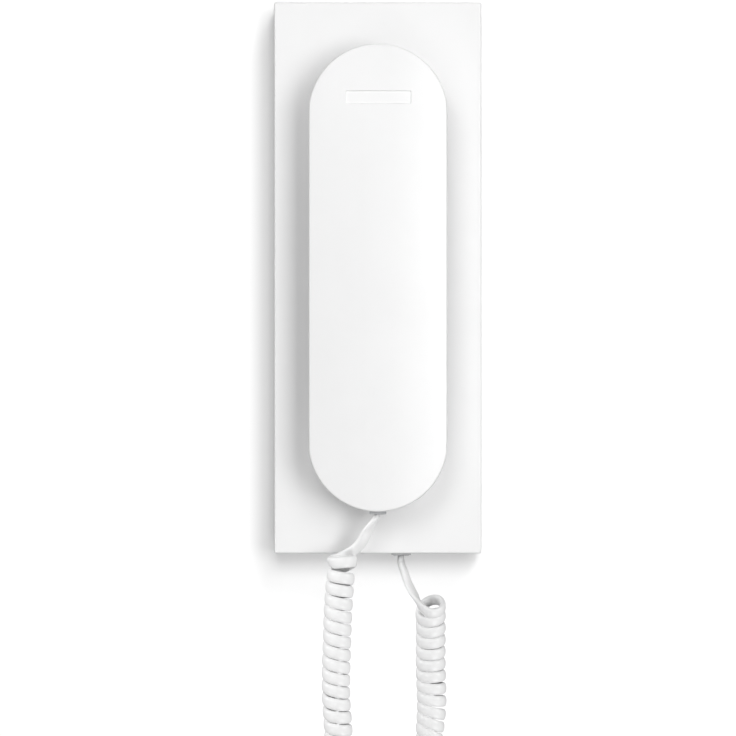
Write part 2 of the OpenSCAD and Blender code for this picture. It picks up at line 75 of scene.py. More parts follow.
# ------------------------------------------------------------------ materials
class Graph:
    """A material's node tree, with short calls for the nodes used here."""

    def __init__(self, name):
        self.mat = bpy.data.materials.new(name)
        self.mat.use_nodes = True
        self.t = self.mat.node_tree
        self.t.nodes.clear()
        self.out = self.t.nodes.new("ShaderNodeOutputMaterial")
        self.bsdf = self.t.nodes.new("ShaderNodeBsdfPrincipled")
        self.t.links.new(self.bsdf.outputs["BSDF"], self.out.inputs["Surface"])
        self.coord = self.t.nodes.new("ShaderNodeTexCoord")

    def link(self, a, b):
        self.t.links.new(a, b)

    def set(self, **values):
        for k, v in values.items():
            self.bsdf.inputs[k.replace("_", " ")].default_value = v

    def noise(self, scale, detail=3.0, rough=0.55, source="Object", stretch=None, distortion=0.0):
        n = self.t.nodes.new("ShaderNodeTexNoise")
        n.inputs["Scale"].default_value = scale
        n.inputs["Detail"].default_value = detail
        n.inputs["Roughness"].default_value = rough
        n.inputs["Distortion"].default_value = distortion
        self.link(self.place(source, stretch), n.inputs["Vector"])
        return n.outputs["Fac"]

    def place(self, source="Object", stretch=None, offset=None):
        if stretch is None and offset is None:
            return self.coord.outputs[source]
        m = self.t.nodes.new("ShaderNodeMapping")
        if stretch is not None:
            m.inputs["Scale"].default_value = stretch
        if offset is not None:
            m.inputs["Location"].default_value = offset
        self.link(self.coord.outputs[source], m.inputs["Vector"])
        return m.outputs["Vector"]

    def voronoi(self, scale, feature="F1", source="Object", randomness=1.0, stretch=None):
        n = self.t.nodes.new("ShaderNodeTexVoronoi")
        n.feature = feature
        n.inputs["Scale"].default_value = scale
        n.inputs["Randomness"].default_value = randomness
        self.link(self.place(source, stretch), n.inputs["Vector"])
        return n.outputs["Distance"]

    def wave(self, scale, direction="X", source="Object", distortion=0.0, detail=2.0, stretch=None):
        n = self.t.nodes.new("ShaderNodeTexWave")
        n.bands_direction = direction
        n.inputs["Scale"].default_value = scale
        n.inputs["Distortion"].default_value = distortion
        n.inputs["Detail"].default_value = detail
        self.link(self.place(source, stretch), n.inputs["Vector"])
        return n.outputs["Fac"]

    def remap(self, value, lo, hi, a=0.0, b=1.0):
        n = self.t.nodes.new("ShaderNodeMapRange")
        n.inputs["From Min"].default_value = a
        n.inputs["From Max"].default_value = b
        n.inputs["To Min"].default_value = lo
        n.inputs["To Max"].default_value = hi
        self.link(value, n.inputs["Value"])
        return n.outputs["Result"]

    def ramp(self, value, stops):
        n = self.t.nodes.new("ShaderNodeValToRGB")
        while len(n.color_ramp.elements) < len(stops):
            n.color_ramp.elements.new(0.5)
        for e, (at, col) in zip(n.color_ramp.elements, stops):
            e.position = at
            e.color = (*col, 1.0)
        self.link(value, n.inputs["Fac"])
        return n.outputs["Color"]

    def math(self, op, a, b=None):
        n = self.t.nodes.new("ShaderNodeMath")
        n.operation = op
        for i, v in enumerate((a, b)):
            if v is None:
                continue
            if isinstance(v, (int, float)):
                n.inputs[i].default_value = v
            else:
                self.link(v, n.inputs[i])
        return n.outputs["Value"]

    def bump(self, height, distance, strength=1.0, under=None):
        n = self.t.nodes.new("ShaderNodeBump")
        n.inputs["Strength"].default_value = strength
        n.inputs["Distance"].default_value = distance
        self.link(height, n.inputs["Height"])
        if under is not None:
            self.link(under, n.inputs["Normal"])
        return n.outputs["Normal"]

    def color(self, socket):
        self.link(socket, self.bsdf.inputs["Base Color"])

    def rough(self, socket):
        self.link(socket, self.bsdf.inputs["Roughness"])

    def normal(self, socket):
        self.link(socket, self.bsdf.inputs["Normal"])


def shade(c, k):
    return tuple(min(1.0, x * k) for x in c)


def plastic(name, color, rough, grain, depth, peel=0.0, spread=0.012, rough_spread=0.05, ior=1.5, sss=0.0, warm=0.0):
    """Moulded plastic: faint flow clouds in the colour, an eroded-mould grain and a slow waviness in the gloss."""
    g = Graph(name)
    cloud = g.noise(28.0, 4.0, 0.6, distortion=0.3)
    low = shade(color, 1 - spread)
    high = (min(1, color[0] * (1 + spread)), min(1, color[1] * (1 + spread)), min(1, color[2] * (1 + spread - warm)))
    g.color(g.ramp(cloud, [(0.3, low), (0.7, high)]))
    smudge = g.noise(75.0, 5.0, 0.62, distortion=0.6)
    fine = g.noise(grain, 2.0, 0.5)
    g.rough(g.math("ADD", g.remap(smudge, rough - rough_spread, rough + rough_spread, 0.3, 0.7), g.remap(fine, -0.02, 0.02, 0.3, 0.7)))
    n = g.bump(fine, depth)
    if peel > 0:
        n = g.bump(g.noise(180.0, 2.0, 0.5), peel, under=n)
    g.normal(n)
    g.set(IOR=ior)
    if sss > 0:
        g.set(Subsurface_Weight=sss, Subsurface_Radius=(0.0012, 0.0011, 0.001), Subsurface_Scale=1.0)
    return g.mat


def metal(name, color, rough, brush=(1, 1, 40), depth=4e-6, spots=0.06):
    """Metal with drawing or grinding lines, a cloudy plated skin and small dull spots."""
    g = Graph(name)
    lines = g.noise(700.0, 3.0, 0.6, stretch=brush)
    cloud = g.noise(160.0, 4.0, 0.65)
    g.color(g.ramp(cloud, [(0.3, shade(color, 1 - spots * 2)), (0.7, shade(color, 1 + spots))]))
    g.rough(g.math("ADD", g.remap(lines, -0.08, 0.08, 0.3, 0.7), g.remap(cloud, rough - 0.05, rough + 0.1, 0.3, 0.7)))
    g.normal(g.bump(lines, depth))
    g.set(Metallic=1.0)
    return g.mat


def rubber(name, color, rough, cells, depth):
    """Rubber or foam: a cellular skin, with painted shade that darkens the colour in its hollows."""
    g = Graph(name)
    v = g.voronoi(cells, "F1")
    n = g.noise(cells * 0.35, 4.0, 0.6)
    # painted shade: the colour darkens towards the bottom of each cell's hollow, where the bump sinks, and lightens on
    # the ridges between
    g.color(g.ramp(v, [(0.05, shade(color, 0.7)), (0.6, shade(color, 1.15))]))
    g.rough(g.remap(n, rough - 0.08, rough + 0.08, 0.3, 0.7))
    g.normal(g.bump(v, depth, under=g.bump(n, depth * 0.6)))
    return g.mat


WHITE = (0.905, 0.905, 0.905)
M = {}
M["base_plastic"] = plastic("base_plastic", WHITE, 0.42, 2600.0, 9e-6, peel=6e-6)
M["handset_plastic"] = plastic("handset_plastic", (0.915, 0.915, 0.915), 0.33, 3400.0, 5e-6, peel=8e-6)
M["button_plastic"] = plastic("button_plastic", (0.86, 0.865, 0.87), 0.36, 3000.0, 7e-6)
M["lever_plastic"] = plastic("lever_plastic", (0.84, 0.84, 0.80), 0.45, 1800.0, 8e-6, spread=0.03, warm=0.03)
M["plunger_plastic"] = plastic("plunger_plastic", (0.55, 0.06, 0.04), 0.4, 2500.0, 6e-6, spread=0.06)
M["dark_plastic"] = plastic("dark_plastic", (0.035, 0.035, 0.037), 0.5, 1500.0, 1.6e-5, spread=0.25)
M["components"] = plastic("components", (0.03, 0.03, 0.033), 0.55, 2200.0, 2.2e-5, spread=0.3)
M["terminal_plastic"] = plastic("terminal_plastic", (0.03, 0.24, 0.10), 0.4, 1800.0, 1.0e-5, spread=0.1)
# painted shade: the plugs' plastic is made mid grey, darker than a real plug's clear plastic, to stand for the shade
# under the handset's bottom edge
M["plug_plastic"] = plastic("plug_plastic", (0.55, 0.56, 0.57), 0.18, 1200.0, 3e-6, spread=0.04, rough_spread=0.04, ior=1.58)
M["socket_plastic"] = plastic("socket_plastic", (0.50, 0.50, 0.505), 0.45, 1800.0, 1.0e-5, spread=0.03)
M["zinc_steel"] = metal("zinc_steel", (0.62, 0.63, 0.66), 0.32, (1, 1, 1))
M["spring_steel"] = metal("spring_steel", (0.45, 0.45, 0.47), 0.3, (30, 30, 1))
M["ballast_steel"] = metal("ballast_steel", (0.36, 0.355, 0.35), 0.42, (1, 1, 40), 8e-6, 0.12)
M["capsule_metal"] = metal("capsule_metal", (0.74, 0.74, 0.75), 0.25, (6, 6, 6))
M["silicone"] = rubber("silicone", (0.50, 0.50, 0.50), 0.5, 2500.0, 1.2e-5)
M["foam"] = rubber("foam", (0.025, 0.025, 0.026), 0.85, 1600.0, 1.6e-4)
M["wire_insulation"] = plastic("wire_insulation", (0.45, 0.04, 0.03), 0.38, 1500.0, 6e-6, spread=0.08)


def circuit_board():
    """Green solder mask with copper tracks showing through, tinned pads and the glass weave at a low relief."""
    g = Graph("circuit_board")
    tracks = g.voronoi(260.0, "DISTANCE_TO_EDGE", randomness=0.35)
    pads = g.voronoi(330.0, "F1", randomness=0.2)
    cloud = g.noise(60.0, 4.0, 0.6)
    base = g.ramp(tracks, [(0.0, (0.03, 0.20, 0.07)), (0.06, (0.025, 0.17, 0.06)), (0.1, (0.012, 0.10, 0.035))])
    tin = g.ramp(pads, [(0.0, (1, 1, 1)), (0.13, (1, 1, 1)), (0.16, (0, 0, 0))])
    mix = g.t.nodes.new("ShaderNodeMix")
    mix.data_type = "RGBA"
    g.link(tin, mix.inputs["Factor"])
    g.link(base, mix.inputs["A"])
    mix.inputs["B"].default_value = (0.55, 0.55, 0.52, 1)
    g.color(mix.outputs["Result"])
    g.rough(g.remap(cloud, 0.22, 0.4, 0.3, 0.7))
    g.normal(g.bump(tracks, 3e-5, under=g.bump(g.wave(900.0, "X"), 3e-6)))
    return g.mat


M["circuit_board"] = circuit_board()


def cord_pvc():
    """Extruded PVC: lengthwise die lines, from the cord's own UV."""
    g = Graph("cord_pvc")
    color = (0.88, 0.88, 0.88)
    cloud = g.noise(110.0, 4.0, 0.6)
    g.color(g.ramp(cloud, [(0.3, shade(color, 0.985)), (0.7, shade(color, 1.01))]))
    lines = g.noise(1.0, 3.0, 0.6, source="UV", stretch=(14.0, 90.0, 1.0))
    ribs = g.wave(1.0, "Y", source="UV", stretch=(1.0, 1.27, 1.0))
    g.rough(g.math("ADD", g.remap(lines, -0.06, 0.06, 0.3, 0.7), g.remap(cloud, 0.34, 0.44, 0.3, 0.7)))
    g.normal(g.bump(lines, 8e-6, under=g.bump(g.noise(2600.0, 2.0, 0.5), 5e-6)))
    g.set(IOR=1.53)
    return g.mat


M["cord_pvc"] = cord_pvc()

SLOT_OF = {s["node"]: s["material_slot"] for s in frame["record"]["subparts"]}


# ------------------------------------------------------------------ the cord
# Route points in millimetres, the same as the construction's. The handset end comes first.
LEAD_A = [(-0.4, -36.5, -94.22), (-0.4, -36.5, -95.2), (-2, -36.3, -97.4), (-3.8, -35.7, -100.4), (-5.3, -34.8, -103.6),
          (-7.1, -33.6, -106.4), (-9.6, -32.4, -108.8), (-12.4, -31.6, -110.6)]
AXIS_LEFT = [(-13.8, -36, -111.9), (-14.2, -36, -116), (-14.8, -36, -120), (-15.2, -36, -125), (-15.7, -36, -133), (-16.1, -36, -144),
             (-16.4, -35.8, -154), (-16.5, -35.6, -161), (-16.4, -35.4, -168), (-15.9, -35, -175), (-15.5, -34.6, -182),
             (-15.3, -34.2, -192), (-15.3, -33.8, -202), (-15.5, -33.4, -212), (-15.6, -33.1, -220)]
AXIS_RIGHT = [(21.4, -17.2, -129.9), (21.3, -16.0, -131.3), (21.2, -14.9, -132.8), (21.2, -13.9, -135), (21.3, -13.1, -138.4),
              (21.3, -12.4, -143), (21.3, -11.8, -149), (21.3, -11.3, -156), (21.6, -11.2, -165), (21.7, -11.3, -173), (21.1, -11.4, -181),
              (20.4, -11.6, -190), (20.2, -11.8, -200), (20.4, -11.9, -210), (20.6, -12, -220)]
LEAD_B = [(9.4, -10.8, -112.12), (9.4, -10.8, -115), (10.6, -11.4, -118.7), (12.4, -12.8, -123.6), (14.8, -15.6, -128)]
BEND_C, BEND_R, BEND_U = np.array([2.5, -22.5, -228.0]), 21.0, np.array([0.867, 0.499, 0.0])
COIL_R = 4.5           # radius of the wire's centre line in the coil
HALF_W, HALF_T = 2.33, 1.15  # half width and half thickness of the flat wire


def unit(v):
    return v / np.linalg.norm(v, axis=-1, keepdims=True)


def spline(points, step):
    """A smooth curve through the points, sampled about every step."""
    p = np.array(points, float)
    t = np.concatenate([[0], np.cumsum(np.linalg.norm(np.diff(p, axis=0), axis=1) ** 0.5)])
    d = np.zeros_like(p)
    for i in range(len(p)):
        if i == 0:
            d[i] = (p[1] - p[0]) / (t[1] - t[0])
        elif i == len(p) - 1:
            d[i] = (p[-1] - p[-2]) / (t[-1] - t[-2])
        else:
            a, b = t[i] - t[i - 1], t[i + 1] - t[i]
            d[i] = ((p[i] - p[i - 1]) / a * b + (p[i + 1] - p[i]) / b * a) / (a + b)
    out = []
    for i in range(len(p) - 1):
        h = t[i + 1] - t[i]
        n = max(2, int(math.ceil(np.linalg.norm(p[i + 1] - p[i]) / step)))
        for k in range(n):
            u = k / n
            out.append((2 * u**3 - 3 * u**2 + 1) * p[i] + (u**3 - 2 * u**2 + u) * h * d[i]
                       + (-2 * u**3 + 3 * u**2) * p[i + 1] + (u**3 - u**2) * h * d[i + 1])
    out.append(p[-1])
    return np.array(out)


def resample(p, step):
    s = np.concatenate([[0], np.cumsum(np.linalg.norm(np.diff(p, axis=0), axis=1))])
    n = int(round(s[-1] / step))
    at = np.linspace(0, s[-1], n + 1)
    return np.stack([np.interp(at, s, p[:, k]) for k in range(3)], 1), at


def carried_frames(p):
    """Tangents and a pair of normals carried along the curve without twist."""
    t = unit(np.gradient(p, axis=0))
    n = np.zeros_like(p)
    n[0] = unit(np.array([1.0, 0, 0]) - t[0] * t[0][0])
    for i in range(1, len(p)):
        v = p[i] - p[i - 1]
        c = v @ v
        r = n[i - 1] - 2 / c * (v @ n[i - 1]) * v
        tt = t[i - 1] - 2 / c * (v @ t[i - 1]) * v
        v2 = t[i] - tt
        c2 = v2 @ v2
        n[i] = r - (2 / c2 * (v2 @ r) * v2 if c2 > 1e-14 else 0)
        n[i] = unit(n[i] - t[i] * (t[i] @ n[i]))
    return t, n, np.cross(t, n)


def cord_path():
    bend = [BEND_C - BEND_R * math.cos(math.radians(a)) * BEND_U - np.array([0, 0, BEND_R * math.sin(math.radians(a))])
            for a in range(0, 181, 15)]
    axis, s = resample(spline(AXIS_LEFT + [tuple(b) for b in bend] + AXIS_RIGHT[::-1], 0.5), 0.1)
    t, n, b = carried_frames(axis)
    total = s[-1]
    low = int(np.argmin(axis[:, 2]))
    # pitch along the axis: open first turns, close turns on the straight runs, opened up round the bend
    left_len = 107.8
    right_len = total - (left_len + math.pi * BEND_R + 4)
    pitch = np.interp(s, [0, 0.8, 1.6, 2.6, 4.4, 6.0, 7.5, 10, 60, 100, left_len + 8, total - right_len - 8, total - right_len + 8, total - 60, total - 40, total - 10, total - 5, total - 2],
                      [1.6, 2.0, 4.0, 7.9, 7.8, 6.0, 4.9, 4.85, 5.05, 5.0, 6.1, 6.1, 4.7, 4.65, 4.8, 4.8, 5.3, 5.2])
    up = total - s
    radius = np.where(up < s, np.interp(up, [0, 40, 58, 120], [4.95, 4.9, 4.4, 4.4]), np.interp(s, [0, 3, 7], [4.8, 4.7, COIL_R]))
    # the turns lean on the coil's axis: to the side, and down towards the front
    side = np.where(up < s, np.interp(up, [0, 6, 30, 42, 54, 120], [0.0, 0.2, 0.16, 0.0, -0.2, -0.1]), np.interp(s, [0, 5, 9, 15, 22, 45, 75], [0.27, 0.27, 0.12, 0.05, -0.05, -0.07, 0.0]))
    fall = np.where(up < s, np.interp(up, [0, 4, 10, 25, 40, 60, 120], [0.0, 0.2, 0.26, 0.2, 0.15, 0.02, 0]), np.interp(s, [0, 8, 16, 60, 120], [0, 0.03, 0.11, 0.09, 0.05]))
    s0 = 0.2
    front = lambda i: math.degrees(math.atan2(-b[i][1], -n[i][1]))
    start = math.radians(front(0) + 152)       # the lead joins at the back of the coil, right of its middle
    i_end = len(s) - 1 - int(round(0.8 / 0.1))
    end_phase = math.radians(front(i_end) - 80)  # and leaves it at the front, left of its middle
    rate = 2 * math.pi / pitch
    i0 = int(round(s0 / 0.1))
    phi = np.concatenate([[0], np.cumsum((rate[1:] + rate[:-1]) / 2 * np.diff(s))])
    phi -= phi[i0]
    # the turns in the hidden bend take up what is left of a whole turn
    w = np.exp(-((s - s[low]) / 22.0) ** 2)
    w = np.concatenate([[0], np.cumsum((w[1:] + w[:-1]) / 2 * np.diff(s))])
    w /= w[-1]
    want = start - phi[i_end] - end_phase
    phi += (((want + math.pi) % (2 * math.pi)) - math.pi) * w
    ang = start - phi
    turns = phi[i_end] / (2 * math.pi)
    count = int(round(turns * 28))
    keep = np.interp(np.linspace(phi[i0], phi[i_end], count), phi, s)
    at = lambda arr: np.stack([np.interp(keep, s, arr[:, k]) for k in range(3)], 1)
    a, nn, bb = at(axis), unit(at(n)), unit(at(b))
    an = np.interp(keep, s, ang)
    out = np.cos(an)[:, None] * nn + np.sin(an)[:, None] * bb
    helix = a + np.interp(keep, s, radius)[:, None] * out
    off = helix - a
    helix[:, 2] += np.interp(keep, s, side) * off[:, 0] + np.interp(keep, s, fall) * off[:, 1]
    wide = unit(np.cross(out, np.gradient(helix, axis=0)))
    if wide[0] @ t[0] < 0:
        wide = -wide
    # round the left side the wire still leans as the lead does, and stands upright once it is in front
    first = np.array([-0.62, -0.25, 0.74])
    k = np.clip((np.interp(keep, s, phi) - math.radians(35)) / math.radians(125), 0, 1)
    k = (k * k * (3 - 2 * k))[:, None]
    lean = np.array([1.0 if wide[60] @ np.array([0, 0, 1.0]) > 0 else -1.0])
    first = first * lean
    wide = unit(first * (1 - k) + wide * k)
    # the last turn before the base's lead lies over less than its tilt
    left = (phi[i_end] - np.interp(keep, s, phi)) / (2 * math.pi)
    k = np.radians(np.interp(left, [0, 0.15, 0.4, 0.65, 1.2], [12, 16, 10, 0, 0]))[:, None]
    wide = unit(wide * np.cos(k) - out * np.sin(k))
    lead_a = spline(LEAD_A + [tuple(helix[0]), tuple(helix[3])], 0.6)
    cut = int(np.argmin(np.linalg.norm(lead_a - helix[0], axis=1)))
    lead_a = lead_a[:cut]
    lead_b = spline([tuple(helix[-4]), tuple(helix[-1])] + LEAD_B[::-1], 0.6)
    cut = int(np.argmin(np.linalg.norm(lead_b - helix[-1], axis=1)))
    lead_b = lead_b[cut + 1:]
    ta, tb = unit(np.gradient(lead_a, axis=0)), unit(np.gradient(lead_b, axis=0))
    # the flat wire stands edge-on at the plug and turns a quarter before it reaches the coil
    ua = np.linspace(0, 1, len(lead_a))
    flat_a = unit(np.stack([-ta[:, 2], 0 * ua, ta[:, 0]], 1))
    k = np.interp(ua, [0, 0.1, 0.2, 0.36, 0.75, 1], [0, 0.05, 0.25, 0.6, 0.62, 0.8])[:, None]
    wa = unit(np.array([0, 1.0, 0]) * (1 - k) + flat_a * k)
    k = np.clip((ua - 0.72) / 0.28, 0, 1)[:, None] ** 2
    wa = unit(wa * (1 - k) + first * k)
    ub = np.linspace(0, 1, len(lead_b))
    flat_b = unit(np.stack([tb[:, 2], 0 * ub, -tb[:, 0]], 1))
    lean = np.interp(ub, [0, 0.2, 0.6, 0.9, 1], [1.3, 2.1, 1.8, 2.3, 5.0])[:, None]
    wb = unit(flat_b + np.array([0, 1.0, 0]) * lean)
    # it turns upright round the corner where it meets the coil, half of the way on either side
    u0, v0 = wb[0] * (1.0 if wb[0] @ wide[-1] > 0 else -1.0), wide[-1].copy()
    wb = wb * (1.0 if wb[0] @ wide[-1] > 0 else -1.0)
    k = np.clip(1 - ub / 0.2, 0, 1)[:, None]
    k = 0.5 * k * k * (3 - 2 * k)
    wb = unit(wb * (1 - k) + v0 * k)
    k = np.clip(1 - left / 0.12, 0, 1)[:, None]
    k = 0.5 * k * k * (3 - 2 * k)
    wide = unit(wide * (1 - k) + u0 * k)
    path = np.concatenate([lead_a, helix, lead_b])
    w_all = np.concatenate([wa, wide, wb])
    for join, reach, rounds in ((len(lead_a), 6, 6), (len(lead_a) + len(helix), 6, 8)):
        for _ in range(rounds):
            i, j = join - reach, join + reach
            path[i:j] = 0.25 * path[i - 1:j - 1] + 0.5 * path[i:j] + 0.25 * path[i + 1:j + 1]
            w_all[i:j] = unit(0.25 * w_all[i - 1:j - 1] + 0.5 * w_all[i:j] + 0.25 * w_all[i + 1:j + 1])
    return path, w_all, turns


def mesh_object(name, verts, faces, material=None, smooth=True):
    me = bpy.data.meshes.new(name)
    me.from_pydata([tuple(v) for v in verts], [], [tuple(f) for f in faces])
    me.validate()
    me.polygons.foreach_set("use_smooth", [smooth] * len(me.polygons))
    ob = bpy.data.objects.new(name, me)
    bpy.context.scene.collection.objects.link(ob)
    if material:
        me.materials.append(material)
    return ob


def build_cord():
    path, wide, turns = cord_path()
    t = unit(np.gradient(path, axis=0))
    wide = unit(wide - t * np.sum(wide * t, 1)[:, None])
    thin = np.cross(t, wide)
    sides, power = 20, 2.3
    th = 2 * np.pi * (np.arange(sides) + 0.5) / sides
    cx = np.sign(np.cos(th)) * np.abs(np.cos(th)) ** (2 / power) * HALF_W
    cy = np.sign(np.sin(th)) * np.abs(np.sin(th)) ** (2 / power) * HALF_T
    # the closest turns, on the base's side, press the wire a little narrower
    press = np.interp(np.arange(len(path)) / len(path), [0, 0.5, 0.62, 0.955, 0.98], [1, 1, 0.955, 0.955, 1])
    rings = path[:, None, :] + (cx[None, :] * press[:, None])[:, :, None] * wide[:, None, :] + cy[None, :, None] * thin[:, None, :]
    verts = (rings * MM).reshape(-1, 3)
    m = len(path)
    faces = []
    for i in range(m - 1):
        a, b = i * sides, (i + 1) * sides
        for k in range(sides):
            k2 = (k + 1) % sides
            faces.append((a + k, a + k2, b + k2, b + k))
    faces.append(tuple(range(sides - 1, -1, -1)))
    faces.append(tuple(range((m - 1) * sides, m * sides)))
    ob = mesh_object("curly_cord", verts, faces, M["cord_pvc"])
    me = ob.data
    length = np.concatenate([[0], np.cumsum(np.linalg.norm(np.diff(path, axis=0), axis=1))])
    seg = np.linalg.norm(np.roll(np.stack([cx, cy], 1), -1, axis=0) - np.stack([cx, cy], 1), axis=1)
    around = np.concatenate([[0], np.cumsum(seg)])
    uv = me.uv_layers.new(name="UVMap")
    data = np.zeros((len(me.loops), 2))
    starts = np.zeros(len(me.polygons), int)
    me.polygons.foreach_get("loop_start", starts)
    for f in range((m - 1) * sides):
        i, k = divmod(f, sides)
        s0, s1, v0, v1 = length[i], length[i + 1], around[k], around[k + 1]
        L = starts[f]
        data[L:L + 4] = [(s0, v0), (s0, v1), (s1, v1), (s1, v0)]
    uv.data.foreach_set("uv", data.ravel() / 10.0)
    return ob, path, length[-1], turns


cord, cord_line, cord_length, cord_turns = build_cord()
print(f"cord: {cord_length:.1f} mm along the wire, {cord_turns:.2f} turns, lowest {cord_line[:, 2].min():.1f}")
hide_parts("cord_handset_lead", "cord_coil_handset_side", "cord_coil_base_side", "cord_base_lead")


# ------------------------------------------------------------------ moulded shells
class Circle:
    def __init__(self, c, r, n=48, chord=None):
        self.c, self.r, self.n, self.chord = np.array(c, float), r, n, chord

    def loop(self, off=0.0):
        a = 2 * np.pi * np.arange(self.n) / self.n
        p = self.c + (self.r + off) * np.stack([np.cos(a), np.sin(a)], 1)
        if self.chord is not None:
            p[:, 1] = np.maximum(p[:, 1], self.chord - off)
        return p

    def sd(self, p):
        d = np.hypot(*(p - self.c).T) - self.r
        return d if self.chord is None else np.maximum(d, self.chord - p[:, 1])


class RRect:
    """A rounded rectangle, or a pill where r is half its width. marks are extra points along its bottom edge."""

    def __init__(self, c, w, h, r, n=8, step=None, marks=(), chord=None):
        self.c, self.w, self.h, self.r, self.n = np.array(c, float), w, h, r, n
        self.step, self.marks, self.chord = step, marks, chord

    def loop(self, off=0.0):
        w, h, r = self.w / 2 + off, self.h / 2 + off, max(self.r + off, 0.01)
        out = []
        for k, (sx, sz) in enumerate([(1, 1), (-1, 1), (-1, -1), (1, -1)]):
            a = np.radians(90 * k + 90 * np.arange(self.n + 1) / self.n)
            arc = np.array([sx * (w - r), sz * (h - r)]) + r * np.stack([np.cos(a), np.sin(a)], 1)
            out += [tuple(q) for q in arc]
            nxt = [(-(w - r), h), (-w, -(h - r)), (w - r, -h), (w, h - r)][k]
            a0, a1 = np.array(out[-1]), np.array(nxt)
            dist = np.linalg.norm(a1 - a0)
            if dist < 1e-6:
                out.pop()
            elif k == 2 and self.marks:
                out += [(x - self.c[0], -h) for x in self.marks]
            elif self.step:
                m = max(1, int(round(dist / self.step)))
                out += [tuple(a0 + (a1 - a0) * j / m) for j in range(1, m)]
        p = np.array(out) + self.c
        if self.chord is not None:
            p[:, 1] = np.maximum(p[:, 1], self.chord - off)
        return p

    def sd(self, p):
        q = np.abs(p - self.c) - np.array([self.w / 2 - self.r, self.h / 2 - self.r])
        d = np.hypot(*np.maximum(q, 0).T) + np.minimum(q.max(1), 0) - self.r
        return d if self.chord is None else np.maximum(d, self.chord - p[:, 1])


class HandsetOutline:
    """Straight sides and end arcs of a slightly larger radius, so the arcs meet the sides at a faint corner."""

    def __init__(self, inset=0.0, marks=None, n=80):
        self.inset, self.marks, self.n = inset, marks, n
        self.R, self.half, self.zt, self.zb = 27.45, 27.1, 90.0 - 27.45, -93.0 + 27.45

    def loop(self, off=0.0):
        off = off - self.inset
        r, w = self.R + off, self.half + off
        a0 = math.acos(w / r)
        a = np.linspace(a0, math.pi - a0, self.n + 1)
        top = np.stack([r * np.cos(a), self.zt + r * np.sin(a)], 1)
        bot = np.stack([-r * np.cos(a), self.zb - r * np.sin(a)], 1)
        if self.marks:
            for m in (-self.marks, self.marks):
                i = int(np.argmin(np.abs(bot[:, 0] - m)))
                bot[i] = (m, self.zb - math.sqrt(r * r - m * m))
        z1, z0 = top[-1, 1], bot[0, 1]
        m = 32
        left = [(-w, z1 + (z0 - z1) * j / m) for j in range(1, m)]
        right = [(w, z0 + (z1 - z0) * j / m) for j in range(1, m)]
        return np.concatenate([top, np.array(left), bot, np.array(right)])

    def mark_index(self):
        p = self.loop()
        low = p[:, 1] < self.zb
        at = lambda x: int(np.argmin(np.abs(p[:, 0] - x) + 1e3 * ~low))
        return at(-self.marks), at(self.marks)

    def sd(self, p):
        z = np.clip(p[:, 1], self.zb, self.zt)
        d = np.hypot(p[:, 0], p[:, 1] - z) - self.R
        return np.maximum(d, np.abs(p[:, 0]) - self.half) + self.inset


def fillet(d, r):
    """How far a rounded edge of radius r lies below the face, at a distance d in from the edge."""
    d = np.clip(d, 0, r)
    return r - np.sqrt(np.maximum(r * r - (r - d) ** 2, 0))


def rim_radius(p):
    """The handset's rim is rounder on its two end arcs than along its straight sides."""
    t = np.clip((np.abs(p[:, 1] + 1.5) - 60.0) / 12.0, 0, 1)
    return 0.5 + 0.25 * t * t * (3 - 2 * t)


def inside(poly, p):
    x, y = p[:, 0], p[:, 1]
    c = np.zeros(len(p), bool)
    j = len(poly) - 1
    for i in range(len(poly)):
        (xi, yi), (xj, yj) = poly[i], poly[j]
        hit = (yi > y) != (yj > y)
        with np.errstate(divide="ignore", invalid="ignore"):
            c ^= hit & (x < (xj - xi) * (y - yi) / (yj - yi) + xi)
        j = i
    return c


def carve_box(ob, x0, x1, y0, y1, z0, z1):
    """Cuts a rectangular opening out of a closed mesh."""
    me = ob.data
    bm = bmesh.new()
    bm.from_mesh(me)
    bmesh.ops.recalc_face_normals(bm, faces=bm.faces)
    bm.to_mesh(me)
    bm.free()
    corners = [(x * MM, y * MM, z * MM) for x in (x0, x1) for y in (y0, y1) for z in (z0, z1)]
    cutter = mesh_object("cutter", corners, [(0, 1, 3, 2), (4, 6, 7, 5), (0, 4, 5, 1), (2, 3, 7, 6), (0, 2, 6, 4), (1, 5, 7, 3)], None, False)
    m = ob.modifiers.new("carve", "BOOLEAN")
    m.operation, m.solver, m.object = "DIFFERENCE", "EXACT", cutter
    bpy.context.view_layer.update()
    cut = bpy.data.meshes.new_from_object(ob.evaluated_get(bpy.context.evaluated_depsgraph_get()))
    ob.modifiers.remove(m)
    ob.data = cut
    bpy.data.meshes.remove(me)
    mesh = cutter.data
    bpy.data.objects.remove(cutter)
    bpy.data.meshes.remove(mesh)


